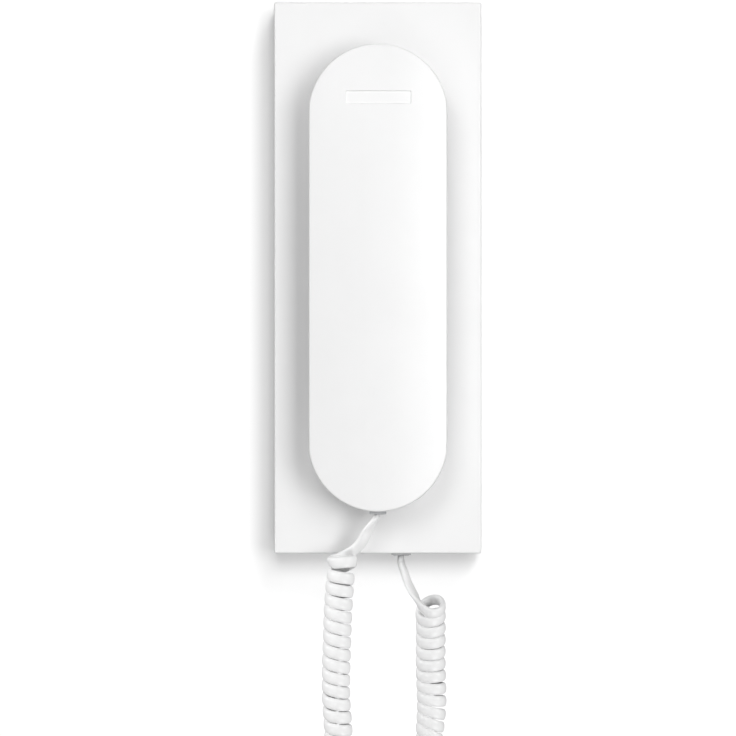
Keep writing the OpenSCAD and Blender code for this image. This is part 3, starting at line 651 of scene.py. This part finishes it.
class Skin:
    """Gathers the faces of one moulded piece; corners at the same place become one vertex."""

    def __init__(self):
        self.pts, self.at, self.faces = [], {}, []

    def v(self, p):
        k = (round(float(p[0]), 3), round(float(p[1]), 3), round(float(p[2]), 3))
        if k not in self.at:
            self.at[k] = len(self.pts)
            self.pts.append(k)
        return self.at[k]

    def face(self, pts):
        ids = []
        for p in pts:
            i = self.v(p)
            if i not in ids:
                ids.append(i)
        if len(ids) > 2:
            self.faces.append(tuple(ids))

    def region(self, edges, y0, out, grid=0.0, rings=(), steps=4, radius=None):
        """A face in X and Z bounded by edges: (shape, side, radius, kind). side is -1 for the outer boundary and 1 for a hole,
        kind 1 for a rounded corner and -1 for a hollow one. out is the Y direction that the face looks in. radius, where
        given, is the first edge's radius as a function of the place, at most the one stated."""
        level = y0 if callable(y0) else (lambda p: np.full(len(p), float(y0)))
        pts, tags, segs = [], [], []

        def add(loop, tag):
            s = len(pts)
            pts.extend(map(tuple, loop))
            tags.extend([tag] * len(loop))
            segs.extend((s + i, s + (i + 1) % len(loop)) for i in range(len(loop)))

        for k, (shape, side, r, kind) in enumerate(edges):
            add(shape.loop(0.0), (k, 0.0))
            if r > 0:
                for j in range(1, steps + 1):
                    d = r - r * math.cos(math.pi / 2 * j / steps)
                    add(shape.loop(side * d), (k, d))
        for loop in rings:
            add(loop, None)
        P = np.array(pts)
        if grid:
            lo, hi = P.min(0), P.max(0)
            gx = np.arange(lo[0] + grid / 2, hi[0], grid)
            gz = np.arange(lo[1] + grid / 2, hi[1], grid)
            G = np.array([(x, z) for z in gz for x in gx])
            ok = np.ones(len(G), bool)
            for shape, side, r, kind in edges:
                ok &= side * shape.sd(G) > r + grid * 0.35
            G = G[ok]
            near = np.array([np.min(np.hypot(*(P - g).T)) for g in G])
            G = G[near > grid * 0.45]
            pts.extend(map(tuple, G))
            tags.extend([None] * len(G))
            P = np.array(pts)
        from mathutils.geometry import delaunay_2d_cdt
        vs, _, fs, ov, _, _ = delaunay_2d_cdt([Vector(p) for p in pts], segs, [], 0, 1e-5)
        src = [o[0] if o else -1 for o in ov]
        if min(src) < 0:
            print("region: crossing loops made", src.count(-1), "new points", [tuple(round(c, 2) for c in vs[j]) for j, i in enumerate(src) if i < 0][:8])
        Q = np.array([P[i] if i >= 0 else vs[j] for j, i in enumerate(src)])
        Y = level(Q)
        for k, (shape, side, r, kind) in enumerate(edges):
            if r > 0:
                d = side * shape.sd(Q)
                for j, i in enumerate(src):
                    if i >= 0 and tags[i] is not None and tags[i][0] == k:
                        d[j] = tags[i][1]
                Y = Y - out * kind * fillet(d, radius(Q) if radius and k == 0 else r)
        C = np.array([Q[list(f)].mean(0) for f in fs])
        keep = np.ones(len(fs), bool)
        for shape, side, r, kind in edges:
            ins = inside(shape.loop(0.0), C)
            keep &= ins if side < 0 else ~ins
        for f, k in zip(fs, keep):
            if not k:
                continue
            a, b, c = (Q[i] for i in f[:3])
            ccw = (b[0] - a[0]) * (c[1] - a[1]) - (b[1] - a[1]) * (c[0] - a[0]) > 0
            ids = list(f) if ccw == (out < 0) else list(f)[::-1]
            self.face([(Q[i][0], Y[i], Q[i][1]) for i in ids])

    def loft(self, rings, outward):
        """Walls between rings of 3-D points, all counter-clockwise seen from the front, in order from front to back."""
        for A, B in zip(rings[:-1], rings[1:]):
            n = len(A)
            for i in range(n):
                j = (i + 1) % n
                q = [A[i], B[i], B[j], A[j]] if outward else [A[i], A[j], B[j], B[i]]
                self.face(q)

    def wall(self, shape, ya, yb, outward, off=0.0, levels=(), skip=None):
        loop = shape.loop(off)
        ys = [ya, *levels, yb]
        rings = []
        for y in ys:
            Y = y(loop) if callable(y) else np.full(len(loop), float(y))
            rings.append(np.stack([loop[:, 0], Y, loop[:, 1]], 1))
        if skip is None:
            self.loft(rings, outward)
            return
        for A, B in zip(rings[:-1], rings[1:]):
            n = len(A)
            for i in range(n):
                j = (i + 1) % n
                m = (A[i] + A[j] + B[i] + B[j]) / 4
                if not skip(m):
                    self.face([A[i], B[i], B[j], A[j]] if outward else [A[i], A[j], B[j], B[i]])

    def tunnel(self, x0, x1, y0, y1, za, zb):
        """The four faces of a rectangular opening through a wall, from z za (outside, lower) to zb."""
        P = lambda x, y, z: (x, y, z(x) if callable(z) else z)
        self.face([P(x0, y0, za), P(x0, y0, zb), P(x0, y1, zb), P(x0, y1, za)][::-1])
        self.face([P(x1, y0, za), P(x1, y0, zb), P(x1, y1, zb), P(x1, y1, za)])
        self.face([P(x0, y0, za), P(x1, y0, za), P(x1, y0, zb), P(x0, y0, zb)][::-1])
        self.face([P(x0, y1, za), P(x1, y1, za), P(x1, y1, zb), P(x0, y1, zb)])

    def build(self, name, material, sharp=34, carve=None):
        ob = mesh_object(name, np.array(self.pts) * MM, self.faces, material)
        if carve:
            carve_box(ob, *carve)
        bm = bmesh.new()
        bm.from_mesh(ob.data)
        bmesh.ops.recalc_face_normals(bm, faces=bm.faces)
        open_edges = sum(1 for e in bm.edges if len(e.link_faces) != 2)
        for e in bm.edges:
            e.smooth = len(e.link_faces) == 2 and e.calc_face_angle(0) < math.radians(sharp)
        bm.to_mesh(ob.data)
        bm.free()
        m = ob.modifiers.new("weighted", "WEIGHTED_NORMAL")
        m.keep_sharp = True
        m.weight = 50
        print(f"{name}: {len(self.pts)} vertices, {len(self.faces)} faces, {open_edges} open edges")
        return ob


TAN = math.tan(math.radians(30))
FACE_Y, POCKET_Y = -18.0, -13.0
EAR_Z, MOUTH_Z = 62.0, -66.0
BASE_MID = -0.75


def build_cover():
    s = Skin()
    marks = (5.3, 13.5)
    outer = RRect((0, BASE_MID), 83, 220.5, 0.9, 8, marks=marks)
    inner = RRect((0, BASE_MID), 78.6, 216.1, 0.6, 4, marks=marks)
    pockets = []
    for c, r in ((EAR_Z, 22.7), (MOUTH_Z, 20.7)):
        zb = c - r
        chord = lambda y, zb=zb: zb + (POCKET_Y - y) * TAN
        pill = lambda y=None, grow=0.0, c=c, r=r, chord=chord: RRect((0, c + 2), 2 * (r + grow), 2 * (r + grow) + 4, r + grow, 28, step=2,
                                                                       chord=None if y is None else chord(y))
        pockets.append((pill, c, r))
    small = [(Circle((x, -24), 5.8, 48), 0.45) for x in (-15, 15)]
    small.append((RRect((-18, 19), 3.6, 11.2, 0.4, 4), 0.25))
    small += [(RRect((11.6 + 3 * i, 16), 1.2, 14, 0.55, 5), 0.22) for i in range(5)]
    screw = Circle((0, 17), 3.1, 40)
    edges = [(outer, -1, 0.7, 1), (screw, 1, 0.3, 1)] + [(p(-17.5), 1, 0.5, 1) for p, _, _ in pockets] + [(h, 1, r, 1) for h, r in small]
    s.region(edges, FACE_Y, -1, steps=5)
    s.wall(outer, FACE_Y + 0.7, -2.5, True, levels=(-15.4, -6.2),
           skip=lambda m: m[2] < -110.9 and 5.3 < m[0] < 13.5 and -15.4 < m[1] < -6.2)
    s.region([(outer, -1, 0.2, 1), (inner, 1, 0, 1)], -2.3, 1, steps=2)
    s.wall(inner, -15.8, -2.3, False, levels=(-15.4, -6.2),
           skip=lambda m: m[2] < -108.7 and 5.3 < m[0] < 13.5 and -15.4 < m[1] < -6.2)
    s.tunnel(5.3, 13.5, -15.4, -6.2, -111.0, -108.8)
    boss = Circle((0, 17), 4.4, 40)
    s.region([(inner, -1, 0, 1), (boss, 1, 0, 1)] + [(p(None, 1.8), 1, 0, 1) for p, _, _ in pockets] + [(h, 1, 0, 1) for h, _ in small], -15.8, 1)
    for h, r in small:
        s.wall(h, FACE_Y + r, -15.8, False)
    hole = Circle((0, 17), 1.6, 24)
    s.wall(screw, FACE_Y + 0.3, -14.4, False)
    s.region([(screw, -1, 0, 1), (hole, 1, 0, 1)], -14.4, -1)
    s.wall(hole, -14.4, -12.7, False)
    s.region([(boss, -1, 0, 1), (hole, 1, 0, 1)], -12.7, 1)
    s.wall(boss, -15.8, -12.7, True)
    for pill, c, r in pockets:
        rings = []
        for y in np.linspace(-17.5, -13.5, 7):
            L = pill(y).loop()
            rings.append(np.stack([L[:, 0], np.full(len(L), y), L[:, 1]], 1))
        s.loft(rings, False)
        s.region([(pill(-13.5), -1, 0.5, -1)], POCKET_Y, -1, steps=4)
        back = pill(None, 1.8)
        s.wall(back, -15.8, -11.2, True)
        s.region([(back, -1, 0, 1)], -11.2, 1)
    # the lever's lugs and the buttons' guide sleeves, behind the front wall
    for x0, x1 in ((4.6, 6.3), (12.6, 14.3)):
        block(s, x0, x1, -15.9, -8.9, -40.2, -35.8)
    for x in (-15, 15):
        o, i = Circle((x, -24), 7.7, 48), Circle((x, -24), 6.6, 48)
        rings = [[(p[0], y, p[1]) for p in shape.loop()] for shape, y in ((o, -15.9), (o, -12.6), (i, -12.6), (i, -15.9), (o, -15.9))]
        s.loft(rings, True)
    # slot of the hook lever's finger, with the notch in the pocket's side that its arm swings into
    return s.build("base_cover", M["base_plastic"], carve=(7.6, 12.4, -14.4, -10.6, -55.2, -40.4))


CROWN_R = (54.2 * 54.2 / 4 + 4.0) / 4.0


def crown(p):
    x = np.clip(np.abs(p[:, 0]), 0, 40)
    return -44.0 + CROWN_R - np.sqrt(CROWN_R**2 - x * x)


def bottom_z(inset):
    return lambda x: -93.0 + 27.45 - math.sqrt((27.45 - inset) ** 2 - x * x)


def notch_sides(s, rings, k0, k1, i0, i1):
    """Closes the sides and the far end of an opening cut through a rim from ring k0 round to ring k1."""
    s.face([rings[k][i0] for k in range(k0, k1 + 1)])
    s.face([rings[k][i1] for k in range(k0, k1 + 1)])
    s.face(list(rings[k0][i0:i1 + 1]) + list(rings[k1][i0:i1 + 1])[::-1])


def rim(s, outer, inner, y_start, y_lip, y_notch, y_end, towards):
    """The side wall of a handset shell: down its outside, over its rounded lip and back up its inside.
    towards is the Y direction from the shell's face to its lip."""
    r = 0.25
    L, N = outer.loop(0), inner.loop(0)
    ring = lambda loop, y: np.stack([loop[:, 0], np.broadcast_to(np.asarray(y, float), len(loop)), loop[:, 1]], 1)
    rings = [ring(L, y_start(L)), ring(L, y_notch), ring(L, y_lip - towards * r)]
    for a in (30, 60, 90):
        d = r - r * math.cos(math.radians(a))
        rings.append(ring(outer.loop(-d), y_lip - towards * r * (1 - math.sin(math.radians(a)))))
    end = y_end(N)
    rings.append(ring(N, y_lip))
    rings.append(ring(N, np.where((y_notch - end) * towards > 0, y_notch, end)))
    rings.append(ring(N, end))
    i0, i1 = outer.mark_index()
    n = len(L)
    for k in range(len(rings) - 1):
        for i in range(n):
            if 1 <= k < 7 and i0 <= i < i1:
                continue
            j = (i + 1) % n
            s.face([rings[k][i], rings[k][j], rings[k + 1][j], rings[k + 1][i]])
    notch_sides(s, rings, 1, 7, i0, i1)


def crowned_face(p, label):
    t = np.clip((0.11 - label.sd(p)) / 0.22, 0, 1)
    return crown(p) + 0.6 * t * t * (3 - 2 * t)


def build_handset_front():
    s = Skin()
    outer, inner = HandsetOutline(0, 3.6), HandsetOutline(2.0, 3.6)
    label = RRect((0.2, 69), 25.4, 5.0, 0.4, 5, step=2)
    rings = [label.loop(d) for d in (0.11, 0.07, 0.025, -0.025, -0.07, -0.11)]
    s.region([(outer, -1, 1.1, 1)], lambda p: crowned_face(p, label), -1, grid=3.0, rings=rings, steps=6,
             radius=rim_radius)
    rim(s, outer, inner, lambda L: crown(L) + rim_radius(L), -36.6, -40.6, lambda N: crown(N) + 2.0, 1)
    s.region([(inner, -1, 0, 1)], lambda p: crown(p) + 2.0, 1, grid=8.0)
    for z in (35, -41):
        post(s, 0, z, 3.2, -42.2, -36.6)
    return s.build("handset_front", M["handset_plastic"])


def post(s, x, z, r, y0, y1, n=32):
    c = Circle((x, z), r, n).loop()
    a = [(p[0], y0, p[1]) for p in c]
    b = [(p[0], y1, p[1]) for p in c]
    s.face(a)
    s.face(b[::-1])
    s.loft([a, b], True)


def block(s, x0, x1, y0, y1, z0, z1):
    c = [(x0, z0), (x1, z0), (x1, z1), (x0, z1)]
    a = [(x, y0, z) for x, z in c]
    b = [(x, y1, z) for x, z in c]
    s.face(a)
    s.face(b[::-1])
    s.loft([a, b], True)


def build_handset_rear():
    s = Skin()
    outer, inner = HandsetOutline(0, 3.6), HandsetOutline(2.0, 3.6)
    grip, lip = -29.0, -36.3
    cups = [(EAR_Z, 22.0, 104, 0.9, [(0, 0)] + [(4.5 * math.cos(a), 4.5 * math.sin(a)) for a in np.radians(np.arange(0, 360, 60))]
             + [(9 * math.cos(a), 9 * math.sin(a)) for a in np.radians(np.arange(0, 360, 30))]),
            (MOUTH_Z, 20.0, 96, 0.8, [(0, 0)] + [(3.4 * math.cos(a), 3.4 * math.sin(a)) for a in np.radians(np.arange(0, 360, 60))])]
    screws = [Circle((0, z), 2.8, 40) for z in (35, -41)]
    s.region([(outer, -1, 1.2, 1)] + [(Circle((0, c), r, n), 1, 0.6, -1) for c, r, n, _, _ in cups] + [(q, 1, 0.25, 1) for q in screws],
             grip, 1, steps=5)
    rim(s, outer, inner, lambda L: np.full(len(L), grip - 1.2), lip, -32.4, lambda N: np.full(len(N), -31.0), -1)
    posts = [Circle(q.c, 4.2, 36) for q in screws]
    s.region([(inner, -1, 0, 1)] + [(Circle((0, c), r - 2, 88), 1, 0, 1) for c, r, _, _, _ in cups] + [(p, 1, 0, 1) for p in posts], -31.0, -1)
    for q, p in zip(screws, posts):
        hole = Circle(q.c, 1.35, 20)
        s.wall(q, grip - 0.25, -31.4, False)
        s.region([(q, -1, 0, 1), (hole, 1, 0, 1)], -31.4, 1)
        s.wall(hole, -31.4, lip, False)
        s.region([(p, -1, 0, 1), (hole, 1, 0, 1)], lip, -1)
        s.wall(p, -31.0, lip, True)
    for c, r, n, hr, at in cups:
        zb = c - r - 0.35
        chord = lambda y, zb=zb: zb + (POCKET_Y - y) * TAN
        ring = lambda shape, y: np.stack([shape.loop()[:, 0], np.full(shape.n, y), shape.loop()[:, 1]], 1)
        full = Circle((0, c), r, n)
        rings = [ring(full, grip + 0.6), ring(full, -18.35)]
        rings += [ring(Circle((0, c), r, n, chord(y)), y) for y in np.linspace(-18.35, -14.1, 8)]
        s.loft(rings, True)
        face = Circle((0, c), r, n, chord(-14.1))
        holes = [Circle((x, c + z), hr, 18) for x, z in at]
        s.region([(face, -1, 0.8, 1)] + [(h, 1, 0.12, 1) for h in holes], -13.3, 1, steps=5)
        # inside, with a flat bottom that keeps a wall behind the slope
        low = c - (r - 2) + 2.3
        full, flat = Circle((0, c), r - 2, 88), Circle((0, c), r - 2, 88, low)
        s.loft([ring(full, -31.0), ring(full, -20.2), ring(flat, -20.2), ring(flat, -15.1)], False)
        s.region([(flat, -1, 0, 1)] + [(h, 1, 0, 1) for h in holes], -15.1, -1)
        for h in holes:
            s.wall(h, -13.42, -15.1, False)
    return s.build("handset_rear", M["handset_plastic"])


cover = build_cover()
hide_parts("front_cover")
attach(cover, "base")
handset_front = build_handset_front()
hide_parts("handset_front_shell")
handset_rear = build_handset_rear()
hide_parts("handset_rear_shell")
for piece in (handset_front, handset_rear):
    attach(piece, "handset")


def build_dome(name, x, n=40):
    """The rubber dome behind a push button: a foot, a cone with a rim on its crown, and a hollow below it."""
    profile = [(0, -9.36), (1.1, -9.36), (1.3, -9.43), (1.78, -9.43), (1.95, -9.36), (2.05, -9.2), (3.45, -7.14), (3.6, -7.05), (4.08, -7.03),
               (4.2, -6.91), (4.2, -6.15), (4.08, -6.03), (3.0, -6.03), (2.9, -6.15), (1.6, -8.2), (1.45, -8.3), (0, -8.3)]
    s = Skin()
    ang = np.linspace(0, 2 * np.pi, n, endpoint=False)
    rings = [[(x + r * math.cos(a), y, -24 + r * math.sin(a)) for a in ang] for r, y in profile]
    for k in range(len(rings) - 1):
        for i in range(n):
            j = (i + 1) % n
            q = [rings[k][i], rings[k][j], rings[k + 1][j], rings[k + 1][i]]
            s.face(q[1:] if profile[k][0] == 0 else q[:3] if profile[k + 1][0] == 0 else q)
    return s.build(name, M["silicone"])


for name, x in (("door", -15), ("auxiliary", 15)):
    dome = build_dome(name + "_dome", x)
    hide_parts(name + "_button_dome")
    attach(dome, "base")
    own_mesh(dome)


# ------------------------------------------------------------------ CAD nodes that stay
def soften(ob, width, segments=2, angle=32):
    """Rounds a CAD node's edges by a small mould radius, without touching its own mesh."""
    w = ob.modifiers.new("weld", "WELD")
    w.merge_threshold = 2e-6
    d = ob.modifiers.new("planar", "DECIMATE")
    d.decimate_type = "DISSOLVE"
    d.angle_limit = math.radians(0.6)
    b = ob.modifiers.new("edges", "BEVEL")
    b.width = width
    b.segments = segments
    b.limit_method = "ANGLE"
    b.angle_limit = math.radians(angle)
    b.use_clamp_overlap = True
    b.harden_normals = True


for name, ob in nodes.items():
    ob.data.materials.clear()
    ob.data.materials.append(M[SLOT_OF[name]])

for name, width in {"rear_housing": 0.00025, "door_release_button": 0.0004, "auxiliary_button": 0.0004, "volume_slider": 0.00025,
                    "handset_plug": 0.0004, "base_plug": 0.0004}.items():
    soften(nodes[name], width)

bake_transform(cord)


# ------------------------------------------------------------------ wall, floor and light
def stage_plane(name, verts, color):
    g = Graph(name)
    g.color(g.ramp(g.noise(6.0, 3.0), [(0.3, shade(color, 0.995)), (0.7, color)]))
    g.set(Roughness=0.9)
    g.bsdf.inputs["Specular IOR Level"].default_value = 0.0
    geo = g.t.nodes.new("ShaderNodeNewGeometry")
    mix = g.t.nodes.new("ShaderNodeMixShader")
    clear = g.t.nodes.new("ShaderNodeBsdfTransparent")
    g.link(geo.outputs["Backfacing"], mix.inputs["Fac"])
    g.link(g.bsdf.outputs["BSDF"], mix.inputs[1])
    g.link(clear.outputs["BSDF"], mix.inputs[2])
    g.link(mix.outputs["Shader"], g.out.inputs["Surface"])
    ob = mesh_object(name, verts, [(0, 1, 2, 3)], g.mat, False)
    ob.visible_diffuse = ob.visible_glossy = ob.visible_transmission = ob.visible_shadow = False
    return ob


wall = stage_plane("wall", [(-3, 0.0003, -1), (3, 0.0003, -1), (3, 0.0003, 3), (-3, 0.0003, 3)], (0.985, 0.985, 0.985))
floor = stage_plane("floor", [(-3, -4, -1), (3, -4, -1), (3, 0.0003, -1), (-3, 0.0003, -1)], (0.96, 0.96, 0.955))


def softbox(name, azimuth, elevation, power, receivers, blockers=None):
    """A soft square light 2 m from the object. Azimuth is to the right of the camera's side, elevation above the horizontal."""
    a, e = math.radians(azimuth), math.radians(elevation)
    aim = Vector((0, -0.03, -0.03))
    away = Vector((math.sin(a) * math.cos(e), -math.cos(a) * math.cos(e), math.sin(e)))
    d = bpy.data.lights.new(name, "AREA")
    d.shape, d.size, d.size_y, d.energy = "RECTANGLE", 0.75, 0.75, power
    ob = bpy.data.objects.new(name, d)
    bpy.context.scene.collection.objects.link(ob)
    ob.location = aim + away * 2.0
    ob.rotation_euler = (-away).to_track_quat("-Z", "Y").to_euler()
    ob.visible_camera = False
    ob.light_linking.receiver_collection = receivers
    if blockers is not None:
        ob.light_linking.blocker_collection = blockers
    return ob


def light_group(name, pieces, state):
    c = bpy.data.collections.new(name)
    for ob in pieces:
        c.objects.link(ob)
    for member in c.collection_objects:
        member.light_linking.link_state = state
    return c


# The telephone, its cord and the backdrop have their own lights, so the wall can be as white as a cleared studio
# backdrop, the moulded faces keep their soft shadows, and the thin cord, lit all round, throws none on the wall.
on_object = light_group("lit_object", [wall, floor, cord], "EXCLUDE")
on_cord = light_group("lit_cord", [cord], "INCLUDE")
on_wall = light_group("lit_backdrop", [wall, floor], "INCLUDE")
no_cord = light_group("casts_no_shadow", [cord], "EXCLUDE")
for name, azimuth, elevation, power in (("key", 22, 0, 13.8), ("high", 22, 20, 6.4), ("left", -12, 20, 9.8), ("low_left", -12, -20, 3.7),
                                        ("low", 22, -40, 1.6)):
    softbox(name, azimuth, elevation, power, on_object)
# a weaker fill round the sides, top, bottom and back, from behind the plane of the front
for name, azimuth, elevation, power in (("fill_left", -102, 0, 4.2), ("fill_right", 102, 0, 3.6), ("fill_top", 180, 78, 7.0),
                                        ("fill_bottom", 180, -78, 3.0), ("fill_back", 180, 0, 7.0)):
    softbox(name, azimuth, elevation, power, on_object)
for name, azimuth, elevation, power in (("cord_top", -30, 20, 10.6), ("cord_left", -50, -20, 4.7), ("cord_side", -75, 20, 22.4),
                                        ("cord_low", 40, -40, 16.6), ("cord_right", 60, 20, 18.4)):
    softbox(name, azimuth, elevation, power, on_cord)
for name, azimuth, elevation, power in (("backdrop_low", 0, -25, 9.2), ("backdrop_middle", 0, 20, 12.1), ("backdrop_right", 25, 0, 8.8),
                                        ("backdrop_key", 25, 20, 5.8), ("backdrop_high", 25, 45, 11.5)):
    softbox(name, azimuth, elevation, power, on_wall, no_cord)

world = bpy.data.worlds.new("world")
world.use_nodes = True
bpy.context.scene.world = world
world.node_tree.nodes["Background"].inputs["Color"].default_value = (1, 1, 1, 1)
world.node_tree.nodes["Background"].inputs["Strength"].default_value = 0.19

bpy.context.scene.view_settings.view_transform = "Standard"
bpy.context.scene.view_settings.look = "None"
